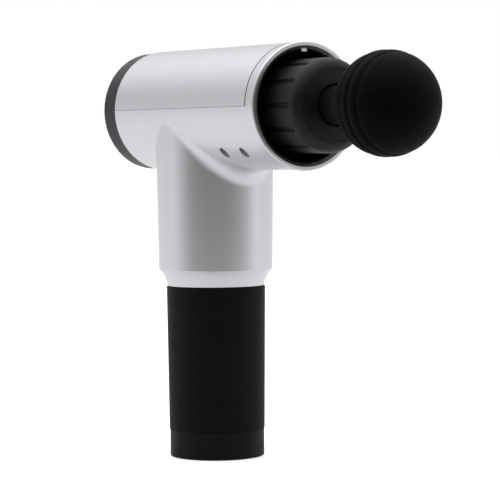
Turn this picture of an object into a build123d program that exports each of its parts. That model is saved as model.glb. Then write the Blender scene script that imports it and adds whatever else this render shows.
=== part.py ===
from build123d import *
from math import cos, radians, sin, sqrt
import os

# Percussion massage gun: a T-shaped housing, a battery handle and a ball head.
# Millimetres, +Z up, +X along the barrel towards the head.
# The origin is the centre of the foot ring's bottom face.

os.makedirs("parts", exist_ok=True)

# ---------------------------------------------------------------- driving sizes

# Clearances
seam = 0.15  # between two shells or covers
slip = 0.1  # between fixed pieces that push together
running = 0.03  # radial, between a shaft and what it turns or slides in
moving_gap = 0.3  # between bodies that move past each other

# Battery cells and the handle round them
cell_radius = 9.15
cell_length = 65.0
cell_gap = 0.2
cell_pitch = 2 * cell_radius + cell_gap
tube_wall = 2.0
tube_inner = cell_pitch / sqrt(2) + cell_radius + 0.37
tube_outer = tube_inner + tube_wall
grip_bottom_radius = tube_outer + 1.35
grip_top_radius = tube_outer + 2.2
cap_height = 14.8
cap_radius = tube_outer + 1.02
cap_wall = 2.2
cap_floor = 3.0
foot_drop = 0.3
foot_depth = 1.2
foot_outer = cap_radius - 2.02
foot_inner = foot_outer - 3.0
cell_bottom = cap_height + 4.7
cell_top = cell_bottom + cell_length
handle_top = cell_top + 8.6
spigot_radius = tube_inner + 0.4
spigot_length = 14.9
spigot_wall = 2.0
spigot_top = handle_top + spigot_length
contact_pitch = 9.0

# Motor
can_radius = 26.0
can_wall = 1.4
can_height = 30.0
magnet_thickness = 1.5
air_gap = 0.6
stator_radius = can_radius - can_wall - magnet_thickness - air_gap
stack_height = 16.0
slot_count = 12
magnet_count = 14
shaft_radius = 4.0
bearing_outer = 8.0
bearing_width = 5.0
motor_tube = bearing_outer + 2.0

# Neck
neck_length = 95.5  # from the neck's foot to the barrel's axis
neck_wall = 1.83
neck_draft = 0.81
neck_blend = 9.0
neck_bore = can_radius + 3.0
neck_radius = neck_bore + neck_wall
neck_bottom = handle_top + 0.2
cove_radius = grip_top_radius - 0.45
cove_height = 8.9
cove_mid = (cove_radius + 1.7, neck_bottom + 5.1)
socket_seat = neck_bottom + 10.7
socket_wall = 1.6
socket_hole = spigot_radius + moving_gap + socket_wall + slip

# Barrel
axis_height = neck_bottom + neck_length
barrel_radius = 33.0
barrel_wall = 2.4
barrel_bore = barrel_radius - barrel_wall
barrel_rear = -49.9
barrel_front = 85.8
ring_length = 7.5
cover_seam = 0.4
cover_front = barrel_front - ring_length - cover_seam
rim_flare = 0.45
rim_width = 3.3
rim_bevel = 1.5
mouth_radius = barrel_radius - rim_width

# Crank and rod
crank_radius = 18.0
crank_thickness = 8.0
throw = 6.0
rod_length = 42.0
rod_thickness = 8.0
big_end_radius = 15.0
small_end_radius = 7.5
crank_bearing_outer = 11.0
crank_bearing_width = 7.0
wrist_pin_radius = 3.0
wrist_pin_x = rod_length - throw
pin_radius = shaft_radius
pin_collar_radius = pin_radius + 0.6
pin_reach = sqrt((throw + 0.5)**2 + throw**2) + pin_collar_radius  # furthest the pin gets from the shaft
crank_bottom = axis_height - crank_thickness - 9.8

# Drive frame, from the barrel's axis down to the motor
floor_thickness = 3.0
floor_top = crank_bottom - 5.0
frame_floor = floor_top - floor_thickness
plate_thickness = 4.0
plate_top = frame_floor - 9.0
motor_seat = plate_top - plate_thickness
damper_thickness = 1.5
ledge_top = motor_seat - damper_thickness
ledge_bottom = ledge_top - 4.0
ledge_radius = can_radius + 1.0
can_top = motor_seat - 5.0
can_bottom = can_top - can_height
stator_bottom = motor_seat - 24.0
motor_tube_bottom = motor_seat - 28.0
flange_thickness = 4.0

# Piston and guide
piston_radius = 9.9
piston_rear = wrist_pin_x - 9.0
bush_wall = 2.07
bush_length = 12.0
guide_inner = piston_radius + running + bush_wall
guide_outer = guide_inner + 2.0
guide_rear = 50.0
flange_radius = guide_outer + 5.0

# Nose
nose_front = barrel_front + 25.3
piston_front = nose_front - 3.1
guide_front = nose_front - 5.1
collar_radius = guide_outer + 4.8
sleeve_radius = collar_radius + 5.5
sleeve_wall = 2.2
sleeve_rear = barrel_front - 15.6
nose_round = 6.0
groove_count = 12
groove_width = 2.7
groove_depth = 1.1
collar_thickness = 2.6
collar_hole = piston_radius + 0.8
liner_rear = barrel_front - 17.8
liner_wall = 1.6

# Head
ball_x = nose_front + 43.4
ball_radius = 26.4
cover_hole = piston_radius + slip
stem_front = ball_x - sqrt(ball_radius**2 - cover_hole**2) - seam / 2
hub_front = ball_x - 11.5
cover_thickness = 3.2
core_wall = 2.4
plug_radius = 6.5
plug_rear = piston_front - 21.0
plug_hole = 3.5
plug_grooves = (plug_rear + 5, plug_rear + 14)
plug_groove_width = 2.2
plug_groove_depth = 1.2
plug_bore = plug_radius + 0.1
ridge_grooves = (ball_x - 5.5, ball_x + 1.1, ball_x + 7.0)
ridge_depth = 0.7
ridge_groove_radius = 1.5

# Rear end
bezel_radius = barrel_radius - 0.6
bezel_front = barrel_rear - 0.9
bezel_rear = bezel_front - 12.1
bezel_wall = 2.4
lens_radius = bezel_radius - 3.6
lens_thickness = 1.6
lens_recess = 0.3
board_thickness = 1.6

# Screws
screw_radius = 1.5
screw_head_radius = 2.6
screw_head_height = 1.8
housing_screw_x = (44.1, 62.4)
housing_screw_y = barrel_radius - 10.3
recess_radius = 2.75
recess_seat = axis_height - 18.3

# ---------------------------------------------------------------- shared helpers

on_base = (Align.CENTER, Align.CENTER, Align.MIN)
barrel_axis = Axis((0, 0, axis_height), (1, 0, 0))
barrel = Plane(origin=(0, 0, axis_height), x_dir=(0, 1, 0), z_dir=(1, 0, 0))


def disc(radius, height, mode=Mode.ADD):
    """A cylinder standing on the current location."""
    Cylinder(radius, height, align=on_base, mode=mode)


def ring(outer, inner, height):
    """A ring standing on the current location."""
    disc(outer, height)
    disc(inner, height, Mode.SUBTRACT)


def block(low, high, mode=Mode.ADD):
    """A box between two corners, whatever the current location."""
    size = [b - a for a, b in zip(low, high)]
    middle = tuple((a + b) / 2 for a, b in zip(low, high))
    with Locations(middle):
        Box(*size, mode=mode)


def facing_front(x, y, z):
    """A workplane at a point, facing along the barrel."""
    return Plane(origin=(x, y, z), x_dir=(0, 1, 0), z_dir=(1, 0, 0))


def screw(length, head_radius=screw_head_radius, head_height=screw_head_height):
    """A cap screw with a hexagon socket: head up from the current location, shank down."""
    disc(head_radius, head_height)
    Cylinder(screw_radius, length, align=(Align.CENTER, Align.CENTER, Align.MAX))


def socket_cuts(points, depth=1.1, across=1.3):
    """Hexagon sockets in screw heads, on the workplanes given."""
    for point in points:
        with BuildSketch(point) as hexagon:
            RegularPolygon(across, 6)
        extrude(hexagon.sketch, amount=-depth, mode=Mode.SUBTRACT)


# ---------------------------------------------------------------- housing

screw_posts = [(x, s * housing_screw_y) for x in housing_screw_x for s in (-1, 1)]
post_radius = 4.2
frame_post_radius = 3.6
frame_post_spots = [(x, s * 8.0) for x in (-36.0, guide_rear - 6.0) for s in (-1, 1)]
cover_post_radius = 3.6
wire_slot = 9.0
rim_round = 0.9
lip_start = cover_front - 3.9
key_width, key_height = 3.2, 1.6

# posts for the cover's screws, trimmed to stay inside the barrel's skin
with BuildPart() as post_set:
    for x, y in screw_posts:
        with Locations((x, y, axis_height - barrel_radius)):
            disc(post_radius, barrel_radius)
    with Locations(barrel.offset(barrel_rear)):
        disc(barrel_radius - 0.6, barrel_front - barrel_rear, Mode.INTERSECT)

with BuildPart() as main_housing:
    with Locations(barrel.offset(barrel_rear)):
        disc(barrel_radius, barrel_front - barrel_rear)
    with BuildSketch(Plane(origin=(0, 0, neck_bottom), x_dir=(-1, 0, 0), z_dir=(0, 0, 1))):
        Circle(neck_radius)
    extrude(amount=axis_height - neck_bottom, taper=-neck_draft)
    # the joint between neck and barrel is the one wavy edge above the neck's foot
    joint_edge = main_housing.edges().filter_by(GeomType.CIRCLE, reverse=True).sort_by(
        lambda edge: edge.length)[-1]
    fillet(joint_edge, radius=neck_blend)
    # cove at the neck's foot
    with BuildSketch(Plane(origin=(0, 0, 0), x_dir=(-1, 0, 0), z_dir=(0, 1, 0))):
        with BuildLine():
            ThreePointArc((cove_radius, neck_bottom), cove_mid, (neck_radius, neck_bottom + cove_height))
            Polyline((neck_radius, neck_bottom + cove_height), (neck_radius + 5, neck_bottom + cove_height),
                     (neck_radius + 5, neck_bottom), (cove_radius, neck_bottom))
        make_face()
    revolve(axis=Axis.Z, mode=Mode.SUBTRACT)
    # the rim swells a little and turns over into a bevelled mouth
    with BuildSketch(Plane.XZ):
        with BuildLine():
            Polyline((cover_front + cover_seam, axis_height + barrel_radius - 1),
                     (cover_front + cover_seam, axis_height + barrel_radius),
                     (barrel_front, axis_height + barrel_radius + rim_flare),
                     (barrel_front, axis_height + barrel_radius - 1), close=True)
        make_face()
    revolve(axis=barrel_axis)
    rim = main_housing.faces().filter_by(Axis.X).sort_by(Axis.X)[-1]
    fillet(rim.edges(), radius=rim_round)
    # bores
    with Locations(barrel.offset(barrel_rear)):
        disc(barrel_bore, lip_start - barrel_rear, Mode.SUBTRACT)
    with Locations(barrel.offset(lip_start)):
        disc(mouth_radius, barrel_front - lip_start, Mode.SUBTRACT)
    with Locations(barrel.offset(barrel_front - rim_bevel)):
        Cone(mouth_radius, mouth_radius + rim_bevel, rim_bevel, align=on_base, mode=Mode.SUBTRACT)
    with Locations((0, 0, socket_seat)):
        disc(neck_bore, axis_height - socket_seat, Mode.SUBTRACT)
    with Locations((0, 0, neck_bottom)):
        disc(socket_hole, socket_seat - neck_bottom, Mode.SUBTRACT)
    # ledge that carries the drive frame, with a slot for wires at the back
    with Locations((0, 0, ledge_bottom)):
        ring(neck_bore + 0.5, ledge_radius, ledge_top - ledge_bottom)
    block((-neck_bore, -wire_slot / 2, ledge_bottom), (-ledge_radius + 2, wire_slot / 2, ledge_top),
          Mode.SUBTRACT)
    # posts for the drive frame, down to the barrel's wall
    for x, y in frame_post_spots:
        foot = axis_height - sqrt(barrel_bore**2 - y**2) - 1.2
        with Locations((x, y, foot)):
            disc(frame_post_radius, frame_floor - foot)
        with Locations((x, y, foot + 0.6)):
            disc(screw_radius, frame_floor - foot, Mode.SUBTRACT)
    # screw posts for the top cover, with recesses from outside
    add(post_set.part)
    for x, y in screw_posts:
        with Locations((x, y, axis_height - barrel_radius)):
            disc(recess_radius, recess_seat - axis_height + barrel_radius, Mode.SUBTRACT)
        with Locations((x, y, recess_seat)):
            disc(screw_radius + slip, axis_height - recess_seat, Mode.SUBTRACT)
    # the upper half of the barrel is open for the cover, behind a lip that it rests on
    block((barrel_rear - 1, -barrel_radius - 1, axis_height),
          (lip_start, barrel_radius + 1, axis_height + barrel_radius + 1), Mode.SUBTRACT)
    with BuildSketch(barrel.offset(lip_start)):
        with Locations((0, barrel_radius)):
            Rectangle(2 * barrel_radius + 2, 2 * barrel_radius)
        Circle(barrel_bore - slip, mode=Mode.SUBTRACT)
    extrude(amount=cover_front + cover_seam - lip_start, mode=Mode.SUBTRACT)
    # key at the top of the mouth
    key_top = axis_height + mouth_radius
    block((barrel_front - 3.2, -key_width / 2, key_top - key_height),
          (barrel_front - rim_bevel, key_width / 2, key_top + 0.5))
main_housing.part.label = "main_housing"
export_step(main_housing.part, "parts/main_housing.step")

with BuildPart() as top_cover:
    with Locations(barrel.offset(barrel_rear)):
        ring(barrel_radius, barrel_bore, cover_front - barrel_rear)
    for x, y in screw_posts:
        with Locations((x, y, axis_height)):
            disc(cover_post_radius, sqrt(barrel_radius**2 - (abs(y) + cover_post_radius)**2) - 0.5)
        with Locations((x, y, axis_height)):
            disc(screw_radius, 12, Mode.SUBTRACT)
    block((barrel_rear - 1, -barrel_radius - 1, axis_height - barrel_radius - 1),
          (cover_front + 1, barrel_radius + 1, axis_height + seam), Mode.SUBTRACT)
top_cover.part.label = "top_cover"
export_step(top_cover.part, "parts/top_cover.step")

with BuildPart() as housing_screws:
    for x, y in screw_posts:
        with Locations(Location((x, y, recess_seat), (180, 0, 0))):
            screw(26)
    socket_cuts([Plane(origin=(x, y, recess_seat - screw_head_height), z_dir=(0, 0, -1))
                 for x, y in screw_posts])
housing_screws.part.label = "housing_screws"
export_step(housing_screws.part, "parts/housing_screws.step")

# ---------------------------------------------------------------- rear end

with BuildPart() as rear_gasket:
    with Locations(barrel.offset(bezel_front)):
        ring(bezel_radius - 0.4, bezel_radius - bezel_wall, barrel_rear - bezel_front)
rear_gasket.part.label = "rear_gasket"
export_step(rear_gasket.part, "parts/rear_gasket.step")

lens_back = bezel_rear + lens_recess + lens_thickness
lens_ledge = 1.5
ledge_depth = 1.4
with BuildPart() as rear_bezel:
    with Locations(barrel.offset(bezel_rear)):
        ring(bezel_radius, lens_radius + slip, bezel_front - bezel_rear)
    fillet(rear_bezel.faces().sort_by(Axis.X)[0].edges().sort_by(SortBy.LENGTH)[-1], radius=0.8)
    with Locations(barrel.offset(lens_back)):
        ring(bezel_radius - 1, lens_radius - lens_ledge, ledge_depth)
    with Locations(barrel.offset(lens_back + ledge_depth)):
        disc(bezel_radius - bezel_wall, bezel_front - lens_back, Mode.SUBTRACT)
rear_bezel.part.label = "rear_bezel"
export_step(rear_bezel.part, "parts/rear_bezel.step")

with BuildPart() as display_lens:
    with Locations(barrel.offset(bezel_rear + lens_recess)):
        disc(lens_radius, lens_thickness)
display_lens.part.label = "display_lens"
export_step(display_lens.part, "parts/display_lens.step")

display_depth = 1.5
display_front = lens_back + display_depth
cable_hole = 1.2
with BuildPart() as display_board:
    with Locations(barrel.offset(display_front)):
        disc(lens_radius - lens_ledge - 0.5, board_thickness)
        with Locations((0, -12, 0)):
            Cylinder(cable_hole, 10, mode=Mode.SUBTRACT)
display_board.part.label = "display_board"
export_step(display_board.part, "parts/display_board.step")

with BuildPart() as display_modules:
    block((lens_back, -9, axis_height + 1), (display_front, 9, axis_height + 13))
    for step in range(-2, 3):
        block((lens_back, 4.5 * step - 1.6, axis_height - 12),
              (display_front, 4.5 * step + 1.6, axis_height - 9))
display_modules.part.label = "display_modules"
export_step(display_modules.part, "parts/display_modules.step")

carrier_rear = display_front + board_thickness
carrier_front = barrel_rear + 3.9
web_rear = barrel_rear - 1.6
control_rear = barrel_rear + 7.4
board_screw_radius = 0.95
standoff_spots = [(y, axis_height + z) for y in (-16.0, 16.0) for z in (-12.0, 12.0)]
with BuildPart() as rear_carrier:
    with Locations(barrel.offset(carrier_rear)):
        ring(bezel_radius - bezel_wall - slip, bezel_radius - bezel_wall - 2, carrier_front - carrier_rear)
    with Locations(barrel.offset(web_rear)):
        ring(bezel_radius - bezel_wall - slip, 9, 1.5)
    for y, z in standoff_spots:
        with Locations(facing_front(web_rear, y, z)):
            disc(2.6, control_rear - web_rear)
        with Locations(facing_front(web_rear + 2, y, z)):
            disc(board_screw_radius + 0.05, control_rear - web_rear, Mode.SUBTRACT)
rear_carrier.part.label = "rear_carrier"
export_step(rear_carrier.part, "parts/rear_carrier.step")

control_half = 20.0
control_low = axis_height - 17.8
control_high = axis_height + 17.2
control_front = control_rear + board_thickness
with BuildPart() as control_board:
    block((control_rear, -control_half, control_low), (control_front, control_half, control_high))
    for y, z in standoff_spots:
        with Locations(facing_front(control_rear, y, z)):
            disc(board_screw_radius + 0.25, board_thickness, Mode.SUBTRACT)
control_board.part.label = "control_board"
export_step(control_board.part, "parts/control_board.step")

with BuildPart() as control_components:
    with Locations(*[facing_front(control_front, y, axis_height + 12.2) for y in (-7, 7)]):
        disc(3.5, 9)
    for y in (-9, -3, 3, 9):
        block((control_front, y - 2.4, axis_height + 1.2), (control_front + 2.3, y + 2.4, axis_height + 6.7))
    block((control_front, -4, axis_height - 10.3), (control_front + 1.2, 4, axis_height - 2.3))
    for y in (-8, 8):
        block((control_front, y - 3.5, axis_height - 15.8), (control_front + 5, y + 3.5, axis_height - 10.8))
control_components.part.label = "control_components"
export_step(control_components.part, "parts/control_components.step")

with BuildPart() as board_screws:
    for y, z in standoff_spots:
        with Locations(facing_front(control_front, y, z)):
            disc(2 * board_screw_radius, 1.3)
            Cylinder(board_screw_radius, 6, align=(Align.CENTER, Align.CENTER, Align.MAX))
board_screws.part.label = "board_screws"
export_step(board_screws.part, "parts/board_screws.step")

# ---------------------------------------------------------------- drive frame and motor

column_outer, column_inner = 20.0, 16.0
bearing_column = crank_bearing_outer + 3.0
floor_half = 15.0
floor_rear = -41.0
wall_front = guide_rear + 4.0
gusset_top = axis_height - piston_radius - 0.9
gusset_thickness = 3.0
flange_reach = (guide_outer + flange_radius) / 2 - 0.2
flange_spots = [(flange_reach * cos(radians(angle)), flange_reach * sin(radians(angle)))
                for angle in (45, 135, 225, 315)]

with BuildPart() as damper_ring:
    with Locations((0, 0, ledge_top)):
        ring(neck_bore - 0.2, ledge_radius + 0.3, damper_thickness)
    block((-neck_bore, -wire_slot / 2, ledge_top - 1), (0, wire_slot / 2, motor_seat + 1), Mode.SUBTRACT)
damper_ring.part.label = "damper_ring"
export_step(damper_ring.part, "parts/damper_ring.step")

motor_screw_reach = motor_tube + 3.0
motor_screw_spots = [(spot.position.X, spot.position.Y)
                     for spot in PolarLocations(motor_screw_reach, 4, start_angle=45).locations]
with BuildPart() as drive_frame:
    with Locations((0, 0, motor_seat)):
        disc(neck_bore - 0.4, plate_top - motor_seat)
    with Locations((0, 0, plate_top)):
        ring(column_outer, column_inner, frame_floor - plate_top)
        disc(bearing_column, frame_floor - plate_top)
    block((floor_rear, -floor_half, frame_floor), (guide_rear + 1, floor_half, floor_top))
    with BuildSketch(barrel.offset(guide_rear)):
        Circle(flange_radius)
        with Locations((0, -(axis_height - frame_floor) / 2)):
            Rectangle(2 * floor_half, axis_height - frame_floor)
    extrude(amount=wall_front - guide_rear)
    for outer_face in (gusset_thickness - floor_half, floor_half):
        block((crank_radius + 2, outer_face - gusset_thickness, floor_top),
              (guide_rear, outer_face, gusset_top))
    with Locations(barrel.offset(guide_rear - 1)):
        disc(guide_outer + slip, 10, Mode.SUBTRACT)
    # bearing seat at the top, shaft hole, and motor tube below
    with Locations((0, 0, floor_top - crank_bearing_width)):
        disc(crank_bearing_outer, crank_bearing_width, Mode.SUBTRACT)
    with Locations((0, 0, motor_seat)):
        disc(bearing_outer, floor_top - motor_seat, Mode.SUBTRACT)
    with Locations(*[(x, y, motor_seat) for x, y in motor_screw_spots]):
        disc(screw_radius, 12, Mode.SUBTRACT)
    with Locations(*[(x, y, frame_floor) for x, y in frame_post_spots]):
        disc(screw_radius + slip, 5, Mode.SUBTRACT)
    for low, high in ((motor_seat, plate_top), (frame_floor, floor_top)):
        block((floor_rear - 1, -wire_slot / 2, low), (1.5 - can_radius, wire_slot / 2, high), Mode.SUBTRACT)
    with Locations(*[facing_front(guide_rear, y, axis_height + z) for y, z in flange_spots]):
        disc(screw_radius, wall_front - guide_rear, Mode.SUBTRACT)
drive_frame.part.label = "drive_frame"
export_step(drive_frame.part, "parts/drive_frame.step")

with BuildPart() as motor_base:
    with Locations((0, 0, motor_seat - flange_thickness)):
        disc(stator_radius - 0.5, flange_thickness)
    with Locations((0, 0, motor_tube_bottom)):
        disc(motor_tube, motor_seat - motor_tube_bottom)
        disc(bearing_outer - 1, motor_seat - motor_tube_bottom, Mode.SUBTRACT)
        disc(bearing_outer, bearing_width, Mode.SUBTRACT)
    with Locations((0, 0, motor_seat - bearing_width)):
        disc(bearing_outer, bearing_width, Mode.SUBTRACT)
    with Locations(*[(x, y, motor_seat - flange_thickness) for x, y in motor_screw_spots]):
        disc(screw_radius + slip, flange_thickness, Mode.SUBTRACT)
motor_base.part.label = "motor_base"
export_step(motor_base.part, "parts/motor_base.step")

with BuildPart() as shaft_bearings:
    for foot in (motor_tube_bottom, motor_seat - bearing_width):
        with Locations((0, 0, foot)):
            ring(bearing_outer, shaft_radius + running, bearing_width)
    with Locations((0, 0, floor_top - crank_bearing_width)):
        ring(crank_bearing_outer, shaft_radius + running, crank_bearing_width)
shaft_bearings.part.label = "shaft_bearings"
export_step(shaft_bearings.part, "parts/shaft_bearings.step")

tooth_root = motor_tube + 4.0
coil_inner, coil_outer = tooth_root + 0.6, stator_radius - 2.3
coil_middle = (coil_inner + coil_outer) / 2
tooth_width, coil_width = 3.2, 7.0
end_turn = 1.6
with BuildPart() as stator_core:
    with BuildSketch(Plane.XY.offset(stator_bottom)):
        Circle(tooth_root)
        with PolarLocations(0, slot_count):
            with Locations(((tooth_root + stator_radius) / 2 - 0.75, 0)):
                Rectangle(stator_radius - tooth_root + 0.5, tooth_width)
        with BuildSketch():
            Circle(stator_radius)
            Circle(stator_radius - 1.6, mode=Mode.SUBTRACT)
            with PolarLocations(stator_radius, slot_count, start_angle=180 / slot_count):
                Rectangle(6, 2.2, mode=Mode.SUBTRACT)
        Circle(motor_tube, mode=Mode.SUBTRACT)
    extrude(amount=stack_height)
stator_core.part.label = "stator_core"
export_step(stator_core.part, "parts/stator_core.step")

with BuildPart() as stator_windings:
    for turn in range(slot_count):
        coil_plane = Plane.XY.rotated((0, 0, turn * 360 / slot_count)).offset(stator_bottom - end_turn)
        with BuildSketch(coil_plane) as coil:
            with Locations((coil_middle, 0)):
                Rectangle(coil_outer - coil_inner, coil_width)
        extrude(coil.sketch, amount=stack_height + 2 * end_turn)
    with BuildSketch(Plane.XY.offset(stator_bottom)) as teeth:
        with PolarLocations(coil_middle, slot_count):
            Rectangle(coil_outer - coil_inner + 2, tooth_width + 2 * slip)
    extrude(teeth.sketch, amount=stack_height, mode=Mode.SUBTRACT)
stator_windings.part.label = "stator_windings"
export_step(stator_windings.part, "parts/stator_windings.step")

can_floor = 2.5
can_hub_radius, can_hub_height = shaft_radius + 3.0, 6.0
with BuildPart() as rotor_can:
    with Locations((0, 0, can_bottom)):
        ring(can_radius, can_radius - can_wall, can_top - can_bottom)
        disc(can_radius, can_floor)
        disc(can_hub_radius, can_hub_height)
        disc(shaft_radius + running, can_hub_height, Mode.SUBTRACT)
        # air holes
        with PolarLocations(can_radius - 10.0, 6):
            disc(5.0, can_floor, Mode.SUBTRACT)
    fillet(rotor_can.faces().sort_by(Axis.Z)[0].edges().sort_by(SortBy.LENGTH)[-1], radius=1.0)
rotor_can.part.label = "rotor_can"
export_step(rotor_can.part, "parts/rotor_can.step")

with BuildPart() as rotor_magnets:
    with BuildSketch(Plane.XY.offset(stator_bottom)):
        Circle(can_radius - can_wall)
        Circle(stator_radius + air_gap, mode=Mode.SUBTRACT)
        with PolarLocations(stator_radius + 1.5, magnet_count):
            Rectangle(5, 0.5, mode=Mode.SUBTRACT)
    extrude(amount=stack_height)
rotor_magnets.part.label = "rotor_magnets"
export_step(rotor_magnets.part, "parts/rotor_magnets.step")

crank_top = crank_bottom + crank_thickness
with BuildPart() as motor_shaft:
    with Locations((0, 0, can_bottom)):
        disc(shaft_radius, crank_top - can_bottom)
motor_shaft.part.label = "motor_shaft"
export_step(motor_shaft.part, "parts/motor_shaft.step")

# ---------------------------------------------------------------- crank, rod and piston

pin_x = -throw
crank_hub_radius = shaft_radius + 2.5
with BuildPart() as crank_disc:
    with Locations((0, 0, crank_bottom)):
        disc(crank_radius, crank_thickness)
    with Locations((0, 0, floor_top + 1.0)):
        disc(crank_hub_radius, crank_bottom - floor_top)
    with Locations((0, 0, floor_top)):
        disc(shaft_radius + running, crank_top - floor_top, Mode.SUBTRACT)
    # lightening holes on the pin's side
    for angle in (150, 210):
        with Locations((12.5 * cos(radians(angle)), 12.5 * sin(radians(angle)), crank_bottom)):
            disc(3.2, crank_thickness, Mode.SUBTRACT)
crank_disc.part.label = "crank_disc"
export_step(crank_disc.part, "parts/crank_disc.step")

counterweight_height = 4.8
with BuildPart() as counterweight:
    with BuildSketch(Plane.XY.offset(crank_top)):
        Circle(crank_radius - 0.2)
        Circle(pin_reach + moving_gap, mode=Mode.SUBTRACT)
        with Locations((-crank_radius + 4, 0)):
            Rectangle(2 * crank_radius, 2 * crank_radius, mode=Mode.SUBTRACT)
    extrude(amount=counterweight_height)
counterweight.part.label = "counterweight"
export_step(counterweight.part, "parts/counterweight.step")

rod_low = axis_height - rod_thickness / 2
rod_root, rod_tip = 8.0, 5.0
rod_bush_radius = wrist_pin_radius + 1.5
with BuildPart() as connecting_rod:
    with BuildSketch(Plane.XY.offset(rod_low)):
        with Locations((pin_x, 0)):
            Circle(big_end_radius)
        with Locations((wrist_pin_x, 0)):
            Circle(small_end_radius)
        with BuildLine():
            Polyline((pin_x, rod_root), (wrist_pin_x, rod_tip), (wrist_pin_x, -rod_tip), (pin_x, -rod_root),
                     close=True)
        make_face()
    extrude(amount=rod_thickness)
    with Locations((pin_x, 0, rod_low)):
        disc(crank_bearing_outer, rod_thickness, Mode.SUBTRACT)
    with Locations((wrist_pin_x, 0, rod_low)):
        disc(rod_bush_radius, rod_thickness, Mode.SUBTRACT)
connecting_rod.part.label = "connecting_rod"
export_step(connecting_rod.part, "parts/connecting_rod.step")

with BuildPart() as rod_bearing:
    with Locations((pin_x, 0, axis_height - crank_bearing_width / 2)):
        ring(crank_bearing_outer, pin_radius, crank_bearing_width)
rod_bearing.part.label = "rod_bearing"
export_step(rod_bearing.part, "parts/rod_bearing.step")

with BuildPart() as crank_pin:
    with Locations((pin_x, 0, crank_top + moving_gap)):
        disc(pin_radius, axis_height + rod_thickness / 2 - crank_top)
    with Locations((pin_x, 0, crank_top + moving_gap)):
        disc(pin_collar_radius, axis_height - crank_bearing_width / 2 - crank_top - moving_gap)
crank_pin.part.label = "crank_pin"
export_step(crank_pin.part, "parts/crank_pin.step")

with BuildPart() as small_end_bush:
    with Locations((wrist_pin_x, 0, rod_low)):
        ring(rod_bush_radius, wrist_pin_radius + running, rod_thickness)
small_end_bush.part.label = "small_end_bush"
export_step(small_end_bush.part, "parts/small_end_bush.step")

slot_half = rod_thickness / 2 + moving_gap
slot_front = wrist_pin_x + small_end_radius + 1.0
with BuildPart() as piston:
    with Locations(barrel.offset(piston_rear)):
        disc(piston_radius, piston_front - piston_rear)
    chamfer(piston.edges().sort_by(Axis.X)[0], length=0.6)
    block((piston_rear - 1, -piston_radius - 1, axis_height - slot_half),
          (slot_front, piston_radius + 1, axis_height + slot_half), Mode.SUBTRACT)
    with Locations(barrel.offset(plug_rear - 1)):
        disc(plug_bore, piston_front - plug_rear + 1, Mode.SUBTRACT)
    with Locations(barrel.offset(slot_front + 5)):
        disc(plug_radius - 1.5, plug_rear - slot_front, Mode.SUBTRACT)
    with Locations((wrist_pin_x, 0, axis_height - piston_radius)):
        disc(wrist_pin_radius, 2 * piston_radius, Mode.SUBTRACT)
piston.part.label = "piston"
export_step(piston.part, "parts/piston.step")

with BuildPart() as wrist_pin:
    with Locations((wrist_pin_x, 0, axis_height - piston_radius + 0.8)):
        disc(wrist_pin_radius, 2 * piston_radius - 1.6)
wrist_pin.part.label = "wrist_pin"
export_step(wrist_pin.part, "parts/wrist_pin.step")

# ---------------------------------------------------------------- guide and nose

guide_flange = 3.0
with BuildPart() as guide_cylinder:
    with Locations(barrel.offset(guide_rear)):
        ring(guide_outer, guide_inner, guide_front - guide_rear)
    with Locations(barrel.offset(wall_front)):
        ring(flange_radius, guide_outer - 0.5, guide_flange)
    with Locations(*[facing_front(wall_front, y, axis_height + z) for y, z in flange_spots]):
        disc(screw_radius + slip, guide_flange, Mode.SUBTRACT)
guide_cylinder.part.label = "guide_cylinder"
export_step(guide_cylinder.part, "parts/guide_cylinder.step")

with BuildPart() as drive_screws:
    for x, y in frame_post_spots:
        with Locations((x, y, floor_top)):
            screw(5)
    for x, y in motor_screw_spots:
        with Locations(Location((x, y, motor_seat - flange_thickness), (180, 0, 0))):
            screw(7, head_height=1.5)
    for y, z in flange_spots:
        with Locations(facing_front(wall_front + guide_flange, y, axis_height + z)):
            screw(6.5, head_radius=2.2)
drive_screws.part.label = "drive_screws"
export_step(drive_screws.part, "parts/drive_screws.step")

with BuildPart() as guide_bushes:
    for rear in (guide_rear + 2, guide_front - bush_length - 2):
        with Locations(barrel.offset(rear)):
            ring(guide_inner, piston_radius + running, bush_length)
guide_bushes.part.label = "guide_bushes"
export_step(guide_bushes.part, "parts/guide_bushes.step")

with BuildPart() as front_liner:
    with Locations(barrel.offset(liner_rear)):
        disc(mouth_radius - slip, barrel_front - rim_bevel - liner_rear)
    with Locations(barrel.offset(liner_rear + 2)):
        Cone(mouth_radius - slip - 2 * liner_wall, mouth_radius - slip - 0.7,
             barrel_front - rim_bevel - liner_rear - 2, align=on_base, mode=Mode.SUBTRACT)
    with Locations(barrel.offset(liner_rear)):
        disc(guide_outer + slip, 3, Mode.SUBTRACT)
    block((barrel_front - 3.4, -key_width / 2 - seam, key_top - key_height - seam),
          (barrel_front, key_width / 2 + seam, key_top + 1), Mode.SUBTRACT)
front_liner.part.label = "front_liner"
export_step(front_liner.part, "parts/front_liner.step")

shoulder = nose_front - nose_round
with BuildPart() as nose_sleeve:
    with Locations(barrel.offset(sleeve_rear)):
        disc(sleeve_radius, nose_front - sleeve_rear)
    fillet(nose_sleeve.edges().sort_by(Axis.X)[-1], radius=nose_round - 0.05)
    with Locations(barrel.offset(sleeve_rear)):
        disc(sleeve_radius - sleeve_wall, shoulder - sleeve_rear - 1, Mode.SUBTRACT)
        disc(collar_radius - 1.5, nose_front - sleeve_rear, Mode.SUBTRACT)
    with Locations(barrel.offset(nose_front - collar_thickness)):
        disc(collar_radius, collar_thickness, Mode.SUBTRACT)
    with Locations(barrel):
        with PolarLocations(sleeve_radius + 0.1, groove_count):
            with Locations((0, 0, sleeve_rear)):
                Box(2 * groove_depth, groove_width, shoulder - 0.6 - sleeve_rear, align=on_base,
                    mode=Mode.SUBTRACT)
nose_sleeve.part.label = "nose_sleeve"
export_step(nose_sleeve.part, "parts/nose_sleeve.step")

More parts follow.
